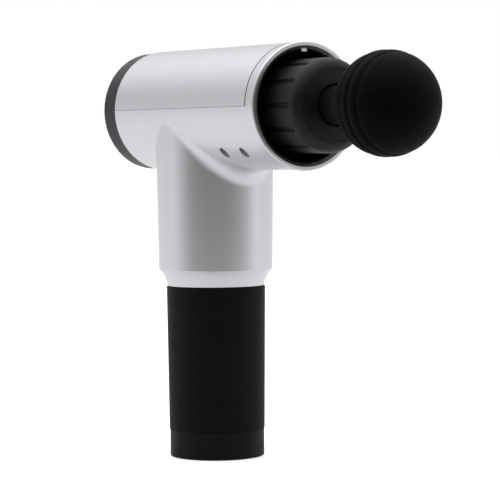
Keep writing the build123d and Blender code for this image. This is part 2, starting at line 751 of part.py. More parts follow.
with BuildPart() as nose_collar:
    with Locations(barrel.offset(nose_front - collar_thickness)):
        ring(collar_radius - slip, collar_hole, collar_thickness)
    fillet(nose_collar.faces().sort_by(Axis.X)[-1].edges(), radius=0.5)
    with Locations(barrel.offset(guide_front - 6)):
        ring(guide_outer + 1.8, guide_outer + slip, nose_front - collar_thickness - guide_front + 6)
nose_collar.part.label = "nose_collar"
export_step(nose_collar.part, "parts/nose_collar.step")

with BuildPart() as dust_seal:
    with Locations(barrel.offset(guide_front)):
        ring(guide_outer, piston_radius + running, nose_front - collar_thickness - guide_front)
dust_seal.part.label = "dust_seal"
export_step(dust_seal.part, "parts/dust_seal.step")

# ---------------------------------------------------------------- massage head

with BuildPart() as head_stem:
    with Locations(barrel.offset(plug_rear)):
        disc(plug_radius, piston_front - plug_rear)
    chamfer(head_stem.edges().sort_by(Axis.X)[0], length=0.8)
    with Locations(barrel.offset(piston_front + seam)):
        disc(piston_radius, stem_front - piston_front - seam)
    with Locations(barrel.offset(piston_front)):
        disc(plug_radius, hub_front - piston_front)
    with Locations(barrel.offset(plug_rear)):
        disc(plug_hole, stem_front - plug_rear, Mode.SUBTRACT)
    for groove in plug_grooves:
        with Locations(barrel.offset(groove)):
            disc(plug_radius, plug_groove_width, Mode.SUBTRACT)
            ring(plug_radius - plug_groove_depth, plug_hole, plug_groove_width)
head_stem.part.label = "head_stem"
export_step(head_stem.part, "parts/head_stem.step")

with BuildPart() as plug_rings:
    for groove in plug_grooves:
        with Locations(barrel.offset(groove + 0.1)):
            ring(plug_radius + 0.05, plug_radius - plug_groove_depth, plug_groove_width - 0.2)
    fillet(plug_rings.edges().filter_by(GeomType.CIRCLE).sort_by(SortBy.LENGTH)[-4:], radius=0.6)
plug_rings.part.label = "plug_rings"
export_step(plug_rings.part, "parts/plug_rings.step")

core_radius = ball_radius - cover_thickness
ball = barrel.offset(ball_x)
with BuildPart() as head_core:
    with Locations(ball):
        Sphere(core_radius)
        Sphere(core_radius - core_wall, mode=Mode.SUBTRACT)
    with Locations(barrel.offset(stem_front + slip)):
        disc(plug_radius + 2.5, hub_front + 2 - stem_front)
    with Locations(barrel.offset(stem_front + slip)):
        disc(plug_radius + 0.05, hub_front - stem_front, Mode.SUBTRACT)
    with Locations(barrel.offset(stem_front + slip - 10)):
        disc(core_radius, 10, Mode.SUBTRACT)
head_core.part.label = "head_core"
export_step(head_core.part, "parts/head_core.step")

with BuildPart() as head_cover:
    with Locations(ball):
        Sphere(ball_radius)
        Sphere(core_radius + 0.05, mode=Mode.SUBTRACT)
    with Locations(barrel.offset(ball_x - ball_radius - 1)):
        disc(cover_hole, 12, Mode.SUBTRACT)
    for groove in ridge_grooves:
        rim_r = sqrt(ball_radius**2 - (groove - ball_x)**2)
        with BuildSketch(Plane.XZ):
            with Locations((groove, axis_height + rim_r + ridge_groove_radius - ridge_depth)):
                Circle(ridge_groove_radius)
        revolve(axis=barrel_axis, mode=Mode.SUBTRACT)
head_cover.part.label = "head_cover"
export_step(head_cover.part, "parts/head_cover.step")

# ---------------------------------------------------------------- battery handle

socket_top = spigot_top + 4.0
socket_roof = 2.0
contact_barrel, contact_tip = 1.5, 1.0
pad_radius = 2.6
pogo_spots = [(x, 0) for x in (-contact_pitch, 0.0, contact_pitch)]
with BuildPart() as battery_socket:
    with Locations((0, 0, neck_bottom + 0.7)):
        ring(socket_hole - slip, spigot_radius + moving_gap, socket_top - neck_bottom - 0.7)
    with Locations((0, 0, socket_seat)):
        ring(neck_bore - slip, spigot_radius + moving_gap, 2.5)
    with Locations((0, 0, socket_top - socket_roof)):
        disc(socket_hole - slip, socket_roof)
    for x, y in pogo_spots:
        with Locations((x, y, socket_top - socket_roof)):
            disc(contact_barrel + slip, socket_roof, Mode.SUBTRACT)
battery_socket.part.label = "battery_socket"
export_step(battery_socket.part, "parts/battery_socket.step")

contact_plane = spigot_top + 0.2
with BuildPart() as spring_contacts:
    for x, y in pogo_spots:
        with Locations((x, y, contact_plane + moving_gap)):
            disc(contact_tip, 2.5)
        with Locations((x, y, socket_top - socket_roof)):
            disc(contact_barrel, 4.5)
spring_contacts.part.label = "spring_contacts"
export_step(spring_contacts.part, "parts/spring_contacts.step")

wire_radius = 0.9
wire_x = -(can_radius + neck_bore) / 2
loom_top = frame_floor - 2.5
with BuildPart() as wiring_loom:
    for y in (-2.2, 0.0, 2.2):
        with BuildLine() as route:
            FilletPolyline((wire_x, y, socket_top + 1.0), (wire_x, y, loom_top),
                           (wire_x - 9.5, y, loom_top + 11), (wire_x - 9.5, y, control_low + 3), radius=3.5)
        with BuildSketch(Plane(origin=route.line @ 0, z_dir=route.line % 0)):
            Circle(wire_radius)
        sweep(path=route.line)
    block((wire_x - 1.0, -3.4, socket_top), (-contact_pitch - 2, 3.4, socket_top + 1.0))
wiring_loom.part.label = "wiring_loom"
export_step(wiring_loom.part, "parts/wiring_loom.step")

tube_top = handle_top - 2.1
with BuildPart() as battery_tube:
    with Locations((0, 0, cap_height)):
        ring(tube_outer, tube_inner, tube_top - cap_height)
battery_tube.part.label = "battery_tube"
export_step(battery_tube.part, "parts/battery_tube.step")

with BuildPart() as grip_sleeve:
    with BuildSketch(Plane.XZ):
        with BuildLine():
            Polyline((tube_outer + 0.05, cap_height), (grip_bottom_radius, cap_height),
                     (grip_top_radius, handle_top), (tube_outer + 0.05, handle_top), close=True)
        make_face()
    revolve(axis=Axis.Z)
    fillet(grip_sleeve.edges().filter_by(GeomType.CIRCLE).sort_by(SortBy.LENGTH)[-2:], radius=0.5)
grip_sleeve.part.label = "grip_sleeve"
export_step(grip_sleeve.part, "parts/grip_sleeve.step")

with BuildPart() as contact_block:
    with Locations((0, 0, tube_top)):
        disc(tube_outer, handle_top - tube_top)
    with Locations((0, 0, tube_top - 2.5)):
        disc(tube_inner - slip, 3)
    with Locations((0, 0, handle_top)):
        disc(spigot_radius, spigot_top - handle_top)
    fillet(contact_block.edges().sort_by(Axis.Z)[-1], radius=1.2)
    with Locations((0, 0, tube_top - 2.5)):
        disc(spigot_radius - spigot_wall, spigot_top - spigot_wall - tube_top + 2.5, Mode.SUBTRACT)
    for x, y in pogo_spots:
        with Locations((x, y, spigot_top - 3)):
            disc(pad_radius + 0.05, 4, Mode.SUBTRACT)
contact_block.part.label = "contact_block"
export_step(contact_block.part, "parts/contact_block.step")

with BuildPart() as contact_pads:
    for x, y in pogo_spots:
        with Locations((x, y, spigot_top - 4)):
            disc(pad_radius, contact_plane - spigot_top + 4)
contact_pads.part.label = "contact_pads"
export_step(contact_pads.part, "parts/contact_pads.step")

cell_spots = [(x, y) for x in (-cell_pitch / 2, cell_pitch / 2) for y in (-cell_pitch / 2, cell_pitch / 2)]
with BuildPart() as battery_cells:
    for x, y in cell_spots:
        with Locations((x, y, cell_bottom)):
            disc(cell_radius, cell_length - 1.0)
            disc(3.2, cell_length)
battery_cells.part.label = "battery_cells"
export_step(battery_cells.part, "parts/battery_cells.step")

holder_height = 6.0
with BuildPart() as cell_holders:
    for foot in (cell_bottom, cell_top - 1 - holder_height):
        with Locations((0, 0, foot)):
            disc(tube_inner - slip, holder_height)
            disc(2.6, holder_height, Mode.SUBTRACT)
        with Locations(*[(x, y, foot) for x, y in cell_spots]):
            disc(cell_radius + 0.05, holder_height, Mode.SUBTRACT)
cell_holders.part.label = "cell_holders"
export_step(cell_holders.part, "parts/cell_holders.step")

link_thickness = 0.3
with BuildPart() as nickel_links:
    for y in (-cell_pitch / 2, cell_pitch / 2):
        block((-cell_pitch / 2 - 4, y - 4, cell_bottom - link_thickness),
              (cell_pitch / 2 + 4, y + 4, cell_bottom))
    for x in (-cell_pitch / 2, cell_pitch / 2):
        block((x - 4, -cell_pitch / 2 - 4, cell_top), (x + 4, cell_pitch / 2 + 4, cell_top + link_thickness))
nickel_links.part.label = "nickel_links"
export_step(nickel_links.part, "parts/nickel_links.step")

protection_low = cell_top + 2.2
with BuildPart() as protection_board:
    with Locations((0, 0, protection_low)):
        disc(tube_inner - 2.6, board_thickness)
    for x in (-8, 0, 8):
        block((x - 2.5, -8, protection_low - 1.4), (x + 2.5, -2, protection_low))
protection_board.part.label = "protection_board"
export_step(protection_board.part, "parts/protection_board.step")

charge_board_low = cap_height - 1.8
with BuildPart() as battery_wires:
    for x in (-1.2, 1.2):
        with Locations((x, 0, charge_board_low + board_thickness)):
            disc(wire_radius, protection_low - charge_board_low - board_thickness)
battery_wires.part.label = "battery_wires"
export_step(battery_wires.part, "parts/battery_wires.step")

rocker_y = 8.0
rocker_length, rocker_width = 12.0, 7.4
rocker_frame_wall = 1.2
jack_y = 12.1 - foot_inner
jack_radius = 4.4
light_x = 9.0
light_radius = 1.3
screw_reach = foot_inner - 4.8
cap_screw_spots = [(-screw_reach, 2.0), (screw_reach, 2.0), (0.0, 3.6 - foot_inner)]
cap_screw_seat = 2.2
frame_length = rocker_length + 2 * (moving_gap + rocker_frame_wall)
frame_width = rocker_width + 2 * (moving_gap + rocker_frame_wall)
with BuildPart() as bottom_cap:
    with Locations((0, 0, foot_drop)):
        disc(cap_radius, cap_height - foot_drop)
    fillet(bottom_cap.edges().sort_by(Axis.Z)[0], radius=0.9)
    with Locations((0, 0, cap_floor)):
        disc(cap_radius - cap_wall, cap_height - cap_floor, Mode.SUBTRACT)
    with Locations((0, 0, cap_height - 3)):
        ring(cap_radius - cap_wall + 0.5, tube_inner - slip - 1.4, 3)
    with Locations((0, 0, cap_height)):
        ring(tube_inner - slip, tube_inner - slip - 1.4, 3.5)
    with Locations((0, 0, foot_drop)):
        disc(foot_outer + slip, foot_depth, Mode.SUBTRACT)
        disc(foot_inner - slip, foot_depth)
    block((-frame_length / 2 - slip, rocker_y - frame_width / 2 - slip, 0),
          (frame_length / 2 + slip, rocker_y + frame_width / 2 + slip, cap_floor + 1), Mode.SUBTRACT)
    with Locations((0, jack_y, 0)):
        disc(jack_radius + slip, cap_floor + 1, Mode.SUBTRACT)
    with Locations((light_x, jack_y, 0)):
        disc(light_radius + slip, cap_floor + 1, Mode.SUBTRACT)
    for x, y in cap_screw_spots:
        with Locations((x, y, 0)):
            disc(screw_head_radius + 0.2, cap_screw_seat, Mode.SUBTRACT)
            disc(screw_radius + slip, cap_floor + 1, Mode.SUBTRACT)
bottom_cap.part.label = "bottom_cap"
export_step(bottom_cap.part, "parts/bottom_cap.step")

with BuildPart() as foot_ring:
    ring(foot_outer, foot_inner, foot_drop + foot_depth)
    fillet(foot_ring.faces().sort_by(Axis.Z)[0].edges(), radius=0.3)
foot_ring.part.label = "foot_ring"
export_step(foot_ring.part, "parts/foot_ring.step")

with BuildPart() as cap_screws:
    for x, y in cap_screw_spots:
        with Locations(Location((x, y, cap_screw_seat), (180, 0, 0))):
            disc(screw_head_radius, 1.6)
            Cylinder(screw_radius, 8, align=(Align.CENTER, Align.CENTER, Align.MAX))
    socket_cuts([Plane(origin=(x, y, cap_screw_seat - 1.6), z_dir=(0, 0, -1)) for x, y in cap_screw_spots])
cap_screws.part.label = "cap_screws"
export_step(cap_screws.part, "parts/cap_screws.step")

rocker_pivot_z = 5.0
trunnion_radius = 1.0
rocker_tilt = 8.0
rocker_face = 1.8
with BuildPart() as rocker_frame:
    block((-frame_length / 2, rocker_y - frame_width / 2, rocker_face),
          (frame_length / 2, rocker_y + frame_width / 2, 12.0))
    block((-rocker_length / 2 - moving_gap, rocker_y - rocker_width / 2 - moving_gap, 0),
          (rocker_length / 2 + moving_gap, rocker_y + rocker_width / 2 + moving_gap, 10.8), Mode.SUBTRACT)
    with Locations(Plane(origin=(0, rocker_y + frame_width / 2, rocker_pivot_z), z_dir=(0, -1, 0))):
        disc(trunnion_radius + running, frame_width, Mode.SUBTRACT)
rocker_frame.part.label = "rocker_frame"
export_step(rocker_frame.part, "parts/rocker_frame.step")

tilted = Plane(origin=(0, rocker_y + rocker_width / 2, rocker_pivot_z), z_dir=(0, -1, 0),
               x_dir=(cos(radians(rocker_tilt)), 0, sin(radians(rocker_tilt))))
rocker_reach = rocker_length / 2 - 0.4
with BuildPart() as power_rocker:
    with BuildSketch(tilted):
        with BuildLine():
            Polyline((rocker_reach, 0.6), (rocker_reach - 1.2, 2.2), (1.5, 2.2), (0, 4.6), (-1.5, 2.2),
                     (1.2 - rocker_reach, 2.2), (-rocker_reach, 0.6), (-rocker_reach, -2.7))
            ThreePointArc((-rocker_reach, -2.7), (0, -1.9), (rocker_reach, -2.7))
            Line((rocker_reach, -2.7), (rocker_reach, 0.6))
        make_face()
    extrude(amount=rocker_width)
    # stub pins that turn in the frame's sides
    trunnion_reach = frame_width / 2 - 0.3
    with Locations(Plane(origin=(0, rocker_y + trunnion_reach, rocker_pivot_z), z_dir=(0, -1, 0))):
        disc(trunnion_radius, 2 * trunnion_reach)
power_rocker.part.label = "power_rocker"
export_step(power_rocker.part, "parts/power_rocker.step")

with BuildPart() as charge_jack:
    with Locations((0, jack_y, 1.2)):
        disc(jack_radius, charge_board_low - 1.2)
        disc(2.9, 9.5, Mode.SUBTRACT)
        disc(1.0, 9.6)
        disc(3.6, 1.0, Mode.SUBTRACT)
charge_jack.part.label = "charge_jack"
export_step(charge_jack.part, "parts/charge_jack.step")

with BuildPart() as charge_light:
    with Locations((light_x, jack_y, foot_drop + 0.3)):
        disc(light_radius, charge_board_low - foot_drop - 0.3)
charge_light.part.label = "charge_light"
export_step(charge_light.part, "parts/charge_light.step")

with BuildPart() as charge_board:
    with Locations((0, 0, charge_board_low)):
        disc(foot_inner - 2.6, board_thickness)
charge_board.part.label = "charge_board"
export_step(charge_board.part, "parts/charge_board.step")
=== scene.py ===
import math

import bmesh
import bpy
from mathutils import Matrix, Vector


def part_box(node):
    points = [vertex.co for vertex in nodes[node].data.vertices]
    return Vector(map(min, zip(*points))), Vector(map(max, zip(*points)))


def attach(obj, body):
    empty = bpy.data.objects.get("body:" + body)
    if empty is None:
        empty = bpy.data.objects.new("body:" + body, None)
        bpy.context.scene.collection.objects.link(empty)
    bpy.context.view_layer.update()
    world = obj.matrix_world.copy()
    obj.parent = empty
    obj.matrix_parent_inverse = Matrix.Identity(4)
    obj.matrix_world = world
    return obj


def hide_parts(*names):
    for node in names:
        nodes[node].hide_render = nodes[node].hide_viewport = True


# Massage gun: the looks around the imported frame. Metres, +Z up, +X along the barrel to the head.

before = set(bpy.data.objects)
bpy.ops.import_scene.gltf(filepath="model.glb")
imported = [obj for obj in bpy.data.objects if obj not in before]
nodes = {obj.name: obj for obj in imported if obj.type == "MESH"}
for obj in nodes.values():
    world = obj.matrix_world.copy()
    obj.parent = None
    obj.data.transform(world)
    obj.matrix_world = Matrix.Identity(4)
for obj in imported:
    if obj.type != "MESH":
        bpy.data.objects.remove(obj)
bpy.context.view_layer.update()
scene = bpy.context.scene
MM = 0.001


def middle(node):
    low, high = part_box(node)
    return (low + high) / 2


axis_z = middle("rear_bezel").z
sleeve_low, sleeve_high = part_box("nose_sleeve")
ball_low, ball_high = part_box("head_cover")
grip_low, grip_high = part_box("grip_sleeve")
lens_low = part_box("display_lens")[0]
stem_low, stem_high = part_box("head_stem")
cover_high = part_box("top_cover")[1]


# ---------------------------------------------------------------- materials

class Graph:
    """A material's nodes, with one Principled shader at the end."""

    def __init__(self, name):
        self.material = bpy.data.materials.new(name)
        self.material.use_nodes = True
        self.tree = self.material.node_tree
        self.shader = self.tree.nodes["Principled BSDF"]
        self.place = self.add("ShaderNodeTexCoord").outputs["Object"]

    def add(self, kind, **settings):
        made = self.tree.nodes.new(kind)
        for key, value in settings.items():
            setattr(made, key, value)
        return made

    def join(self, source, target):
        self.tree.links.new(source, target)

    def noise(self, grain, detail=3.0, rough=0.55, at=None):
        """Noise whose features are about grain metres wide."""
        made = self.add("ShaderNodeTexNoise")
        made.inputs["Scale"].default_value = 1.0 / grain
        made.inputs["Detail"].default_value = detail
        made.inputs["Roughness"].default_value = rough
        self.join(at or self.place, made.inputs["Vector"])
        return made.outputs["Fac"]

    def cells(self, grain):
        made = self.add("ShaderNodeTexVoronoi")
        made.inputs["Scale"].default_value = 1.0 / grain
        self.join(self.place, made.inputs["Vector"])
        return made.outputs["Distance"]

    def span(self, value, low, high, start=0.3, end=0.7):
        made = self.add("ShaderNodeMapRange")
        for key, number in (("From Min", start), ("From Max", end), ("To Min", low), ("To Max", high)):
            made.inputs[key].default_value = number
        self.join(value, made.inputs["Value"])
        return made.outputs["Result"]

    def math(self, operation, first, second):
        made = self.add("ShaderNodeMath", operation=operation)
        for socket, value in zip(made.inputs, (first, second)):
            if isinstance(value, (int, float)):
                socket.default_value = value
            else:
                self.join(value, socket)
        return made.outputs["Value"]

    def colours(self, value, low, high):
        made = self.add("ShaderNodeMix", data_type="RGBA")
        made.inputs[6].default_value = (*low, 1)
        made.inputs[7].default_value = (*high, 1)
        self.join(value, made.inputs[0])
        return made.outputs[2]

    def edges(self, start=0.52, end=0.62):
        """0 on flats and 1 on convex edges."""
        point = self.add("ShaderNodeNewGeometry").outputs["Pointiness"]
        return self.span(point, 0.0, 1.0, start, end)

    def bump(self, height, depth, strength=1.0, after=None):
        made = self.add("ShaderNodeBump")
        made.inputs["Strength"].default_value = strength
        made.inputs["Distance"].default_value = depth
        self.join(height, made.inputs["Height"])
        if after:
            self.join(after, made.inputs["Normal"])
        return made.outputs["Normal"]

    def set(self, **values):
        for key, value in values.items():
            self.shader.inputs[key.replace("_", " ")].default_value = value


def moulded(name, colour, rough, grain=0.35 * MM, depth=0.02 * MM, metallic=0.0, coat=0.0, sheen=0.0,
            wear=1.25, mottle=0.12, specular=0.5, patch=9 * MM):
    """Moulded or cast surface: fine grain, slow patches of tone and roughness, worn edges."""
    graph = Graph(name)
    dark = tuple(c * (1 - mottle) for c in colour)
    light = tuple(min(1.0, c * (1 + mottle)) for c in colour)
    worn = tuple(min(1.0, c * wear + 0.004) for c in colour)
    tone = graph.colours(graph.span(graph.noise(patch), 0, 1), dark, light)
    edge = graph.add("ShaderNodeMix", data_type="RGBA")
    edge.inputs[7].default_value = (*worn, 1)
    graph.join(tone, edge.inputs[6])
    graph.join(graph.edges(), edge.inputs[0])
    graph.join(edge.outputs[2], graph.shader.inputs["Base Color"])
    roughness = graph.math("ADD", graph.span(graph.noise(patch * 0.6), rough - 0.05, rough + 0.04),
                           graph.span(graph.noise(grain * 2), -0.02, 0.02))
    graph.join(roughness, graph.shader.inputs["Roughness"])
    graph.join(graph.bump(graph.noise(grain, 2.0), depth), graph.shader.inputs["Normal"])
    graph.set(Metallic=metallic, Coat_Weight=coat, Coat_Roughness=0.15, Sheen_Weight=sheen,
              Sheen_Roughness=0.5, Specular_IOR_Level=specular)
    return graph.material


def pearl_paint(name):
    """Satin silver paint: metal flakes under a soft clear coat, with a little orange peel."""
    graph = Graph(name)
    silver_dark, silver_light = (0.70, 0.705, 0.72), (0.712, 0.717, 0.732)
    flake_size, peel_size = 0.16 * MM, 2.2 * MM
    tone = graph.colours(graph.span(graph.noise(14 * MM), 0, 1), silver_dark, silver_light)
    flake = graph.add("ShaderNodeMix", data_type="RGBA", blend_type="MULTIPLY")
    flake.inputs[0].default_value = 1.0
    flake_shade = graph.span(graph.cells(flake_size), 0, 1, 0.1, 0.8)
    sparkle = graph.colours(flake_shade, (1, 1, 1), (0.97, 0.97, 0.975))
    graph.join(tone, flake.inputs[6])
    graph.join(sparkle, flake.inputs[7])
    graph.join(flake.outputs[2], graph.shader.inputs["Base Color"])
    graph.join(graph.span(graph.noise(18 * MM, 1.0), 0.29, 0.31, 0.1, 0.9), graph.shader.inputs["Roughness"])
    peel = graph.bump(graph.noise(peel_size, 0.0), 0.0022 * MM)
    fine = graph.bump(graph.cells(flake_size), 0.0006 * MM, after=peel)
    graph.join(fine, graph.shader.inputs["Normal"])
    graph.set(Metallic=0.92, Coat_Weight=0.2, Coat_Roughness=0.2, Specular_IOR_Level=0.5)
    return graph.material


def turned(name, colour, rough, along="x", metallic=1.0, depth=0.004 * MM, centre=(0, 0, 0), wear=1.2):
    """Turned or brushed metal: fine lines round an axis."""
    graph = Graph(name)
    line_pitch = 0.12 * MM
    shift = graph.add("ShaderNodeVectorMath", operation="SUBTRACT")
    shift.inputs[1].default_value = centre
    graph.join(graph.place, shift.inputs[0])
    parts = graph.add("ShaderNodeSeparateXYZ")
    graph.join(shift.outputs[0], parts.inputs[0])
    run = parts.outputs["X" if along == "x" else "Z"]
    first = parts.outputs["Y"]
    second = parts.outputs["Z" if along == "x" else "X"]
    radius = graph.math("SQRT", graph.math("ADD", graph.math("MULTIPLY", first, first),
                                           graph.math("MULTIPLY", second, second)), 0)
    angle = graph.math("ARCTAN2", first, second)
    lines = graph.add("ShaderNodeCombineXYZ")
    graph.join(graph.math("MULTIPLY", run, 1 / line_pitch), lines.inputs["X"])
    graph.join(graph.math("MULTIPLY", radius, 1 / line_pitch), lines.inputs["Y"])
    graph.join(graph.math("MULTIPLY", angle, 3.0), lines.inputs["Z"])
    streak = graph.add("ShaderNodeTexNoise")
    streak.inputs["Scale"].default_value = 1.0
    streak.inputs["Detail"].default_value = 2.0
    graph.join(lines.outputs[0], streak.inputs["Vector"])
    streak = streak.outputs["Fac"]
    dark = tuple(c * 0.82 for c in colour)
    light = tuple(min(1.0, c * wear) for c in colour)
    graph.join(graph.colours(graph.span(streak, 0, 1), dark, light), graph.shader.inputs["Base Color"])
    graph.join(graph.span(streak, rough - 0.07, rough + 0.07), graph.shader.inputs["Roughness"])
    graph.join(graph.bump(streak, depth), graph.shader.inputs["Normal"])
    graph.set(Metallic=metallic)
    return graph.material


def circuit_board(name):
    """Green solder mask with copper tracks showing through it."""
    graph = Graph(name)
    track = graph.add("ShaderNodeTexBrick")
    track.inputs["Scale"].default_value = 180
    track.inputs["Mortar Size"].default_value = 0.03
    track.inputs["Color1"].default_value = (0.008, 0.07, 0.03, 1)
    track.inputs["Color2"].default_value = (0.010, 0.09, 0.04, 1)
    track.inputs["Mortar"].default_value = (0.02, 0.16, 0.07, 1)
    graph.join(graph.place, track.inputs["Vector"])
    graph.join(track.outputs["Color"], graph.shader.inputs["Base Color"])
    graph.join(graph.bump(track.outputs["Fac"], 0.02 * MM), graph.shader.inputs["Normal"])
    graph.join(graph.span(graph.noise(3 * MM), 0.3, 0.42), graph.shader.inputs["Roughness"])
    return graph.material


def wound_copper(name):
    """Enamelled wire laid side by side."""
    graph = Graph(name)
    turns = graph.add("ShaderNodeTexWave", bands_direction="Z")
    turns.inputs["Scale"].default_value = 1 / (2.2 * MM)
    turns.inputs["Distortion"].default_value = 0.6
    graph.join(graph.place, turns.inputs["Vector"])
    graph.join(graph.colours(turns.outputs["Fac"], (0.22, 0.06, 0.02), (0.75, 0.30, 0.12)),
               graph.shader.inputs["Base Color"])
    graph.join(graph.bump(turns.outputs["Fac"], 0.15 * MM), graph.shader.inputs["Normal"])
    graph.join(graph.span(graph.noise(2 * MM), 0.25, 0.4), graph.shader.inputs["Roughness"])
    graph.set(Metallic=0.8)
    return graph.material


def glow(name, colour, strength):
    """Lit segments behind the glass, uneven as small lamps are."""
    graph = Graph(name)
    level = graph.span(graph.noise(4 * MM), 0.8, 1.0)
    shade = graph.colours(level, tuple(c * 0.5 for c in colour), colour)
    graph.join(shade, graph.shader.inputs["Base Color"])
    graph.join(shade, graph.shader.inputs["Emission Color"])
    graph.set(Emission_Strength=strength, Roughness=0.4)
    return graph.material


barrel_centre = (0, 0, axis_z)
paint = pearl_paint("pearl_paint")
bezel_metal = turned("bezel_metal", (0.05, 0.05, 0.054), 0.42, centre=barrel_centre, metallic=0.9)
grip = moulded("grip_silicone", (0.0013, 0.0013, 0.0014), 0.66, grain=0.28 * MM, depth=0.02 * MM,
               specular=0.12, sheen=0.03)
cap = moulded("cap_plastic", (0.0024, 0.0024, 0.0026), 0.5, grain=0.22 * MM, depth=0.012 * MM,
              specular=0.14)
nose = moulded("nose_plastic", (0.0035, 0.0035, 0.0037), 0.46, grain=0.30 * MM, depth=0.016 * MM,
               specular=0.28)
collar = moulded("collar_plastic", (0.0035, 0.0035, 0.0037), 0.5, grain=0.25 * MM, depth=0.012 * MM,
                 specular=0.3)
liner = moulded("liner_plastic", (0.0022, 0.0022, 0.0023), 0.7, grain=0.5 * MM, depth=0.06 * MM,
                specular=0.1)
ball = moulded("ball_rubber", (0.0009, 0.0009, 0.001), 0.62, grain=0.22 * MM, depth=0.012 * MM,
               specular=0.06)
stem = moulded("stem_plastic", (0.003, 0.003, 0.0032), 0.4, grain=0.2 * MM, depth=0.006 * MM, specular=0.25)
# mid-grey lining for the screw recesses: painted shade in place of the silver recess walls in shadow
recess_shade_plastic = moulded("recess_shade_plastic", (0.17, 0.17, 0.174), 0.6, grain=0.3 * MM)
inner_plastic = moulded("inner_plastic", (0.014, 0.014, 0.015), 0.55)
white_plastic = moulded("white_plastic", (0.62, 0.61, 0.57), 0.45, wear=1.05)
seal = moulded("seal_rubber", (0.007, 0.007, 0.007), 0.75, grain=0.5 * MM)
casting = moulded("cast_aluminium", (0.58, 0.58, 0.60), 0.42, grain=0.7 * MM, depth=0.05 * MM, metallic=1.0)
steel = turned("ground_steel", (0.60, 0.60, 0.62), 0.24, along="z")
piston_metal = turned("piston_metal", (0.52, 0.52, 0.54), 0.22, centre=barrel_centre)
guide_metal = turned("guide_metal", (0.55, 0.56, 0.58), 0.34, centre=barrel_centre)
core = turned("core_steel", (0.30, 0.30, 0.31), 0.38, along="z", depth=0.02 * MM)
brass = turned("brass", (0.80, 0.56, 0.25), 0.30, along="z")
screws = moulded("black_oxide", (0.012, 0.012, 0.0125), 0.45, metallic=0.5, wear=1.6, grain=0.15 * MM)
wrap = moulded("cell_wrap", (0.02, 0.16, 0.26), 0.32, grain=3 * MM, depth=0.02 * MM, coat=0.4)
leads = moulded("lead_silicone", (0.35, 0.012, 0.010), 0.5)
glass = moulded("black_glass", (0.004, 0.004, 0.005), 0.09, grain=6 * MM, depth=0.002 * MM, coat=1.0,
                wear=1.0)
lamp = moulded("light_pipe", (0.72, 0.78, 0.72), 0.35, coat=0.3)
rocker = moulded("rocker_plastic", (0.012, 0.012, 0.012), 0.30, coat=0.2)
board = circuit_board("circuit_board")
copper = wound_copper("wound_copper")

finishes = {
    paint: "main_housing top_cover",
    bezel_metal: "rear_bezel",
    glass: "display_lens",
    liner: "front_liner",
    nose: "nose_sleeve",
    collar: "nose_collar",
    ball: "head_cover",
    stem: "head_stem",
    grip: "grip_sleeve",
    cap: "bottom_cap",
    seal: "rear_gasket damper_ring dust_seal plug_rings foot_ring",
    inner_plastic: "rear_carrier display_modules control_components head_core battery_tube contact_block "
                   "battery_socket rocker_frame charge_jack",
    white_plastic: "guide_bushes cell_holders",
    casting: "drive_frame motor_base connecting_rod",
    guide_metal: "guide_cylinder",
    piston_metal: "piston",
    steel: "shaft_bearings rod_bearing motor_shaft crank_pin wrist_pin rotor_magnets nickel_links",
    core: "stator_core rotor_can crank_disc",
    brass: "counterweight small_end_bush contact_pads spring_contacts",
    screws: "housing_screws board_screws drive_screws cap_screws",
    wrap: "battery_cells",
    leads: "wiring_loom battery_wires",
    lamp: "charge_light",
    rocker: "power_rocker",
    board: "display_board control_board protection_board charge_board",
    copper: "stator_windings",
}
for material, names in finishes.items():
    for name in names.split():
        mesh = nodes[name].data
        mesh.materials.clear()
        mesh.materials.append(material)


# ---------------------------------------------------------------- mesh helpers

def new_piece(name, mesh_data, material, body, smooth=True):
    piece = bpy.data.objects.new(name, mesh_data)
    scene.collection.objects.link(piece)
    piece.data.materials.append(material)
    for polygon in piece.data.polygons:
        polygon.use_smooth = smooth
    if body:
        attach(piece, body)
    return piece


def turned_mesh(name, profile, around, count, wave=None):
    """Turns a closed or open outline of (along, radius) points round an axis.

    around is "x" for the barrel's axis or "z" for the handle's. wave(along, radius, angle)
    may change the radius where the surface isn't round.
    """
    mesh = bmesh.new()
    rings = []
    for along, radius in profile:
        row = []
        for step in range(count):
            angle = 2 * math.pi * step / count
            r = wave(along, radius, angle) if wave else radius
            if around == "x":
                row.append(mesh.verts.new((along, r * math.sin(angle), axis_z + r * math.cos(angle))))
            else:
                row.append(mesh.verts.new((r * math.cos(angle), r * math.sin(angle), along)))
        rings.append(row)
    for first, second in zip(rings, rings[1:] + rings[:1]):
        for step in range(count):
            ahead = (step + 1) % count
            mesh.faces.new((first[step], first[ahead], second[ahead], second[step]))
    bmesh.ops.remove_doubles(mesh, verts=mesh.verts, dist=1e-7)
    bmesh.ops.recalc_face_normals(mesh, faces=mesh.faces)
    made = bpy.data.meshes.new(name)
    mesh.to_mesh(made)
    mesh.free()
    return made


def arc_points(centre, radius, start, end, count):
    """Points on an arc in the (along, radius) plane, angles in degrees."""
    angles = [math.radians(start + (end - start) * i / count) for i in range(count + 1)]
    return [(centre[0] + radius * math.cos(a), centre[1] + radius * math.sin(a)) for a in angles]


def smooth_step(value, start, end):
    share = min(1.0, max(0.0, (value - start) / (end - start)))
    return share * share * (3 - 2 * share)


# ---------------------------------------------------------------- massage ball

ball_radius = (ball_high.z - ball_low.z) / 2
ball_x = ball_high.x - ball_radius
stem_radius = (stem_high.z - stem_low.z) / 2
skin_thickness = 2.6 * MM
ridge_first, ridge_last = ball_x - 8.8 * MM, ball_x + 10.2 * MM
ridge_pitch = 6.3 * MM
ridge_depth = 0.75 * MM


def ball_ridges(x):
    """How far the surface dips below the sphere: soft beads round the ball's waist."""
    inside = smooth_step(x, ridge_first, ridge_first + 1.5 * MM) * (
        1 - smooth_step(x, ridge_last - 1.5 * MM, ridge_last))
    wave = 0.5 + 0.5 * math.cos(2 * math.pi * (x - ball_x + 5.5 * MM) / ridge_pitch)
    return ridge_depth * inside * wave ** 2


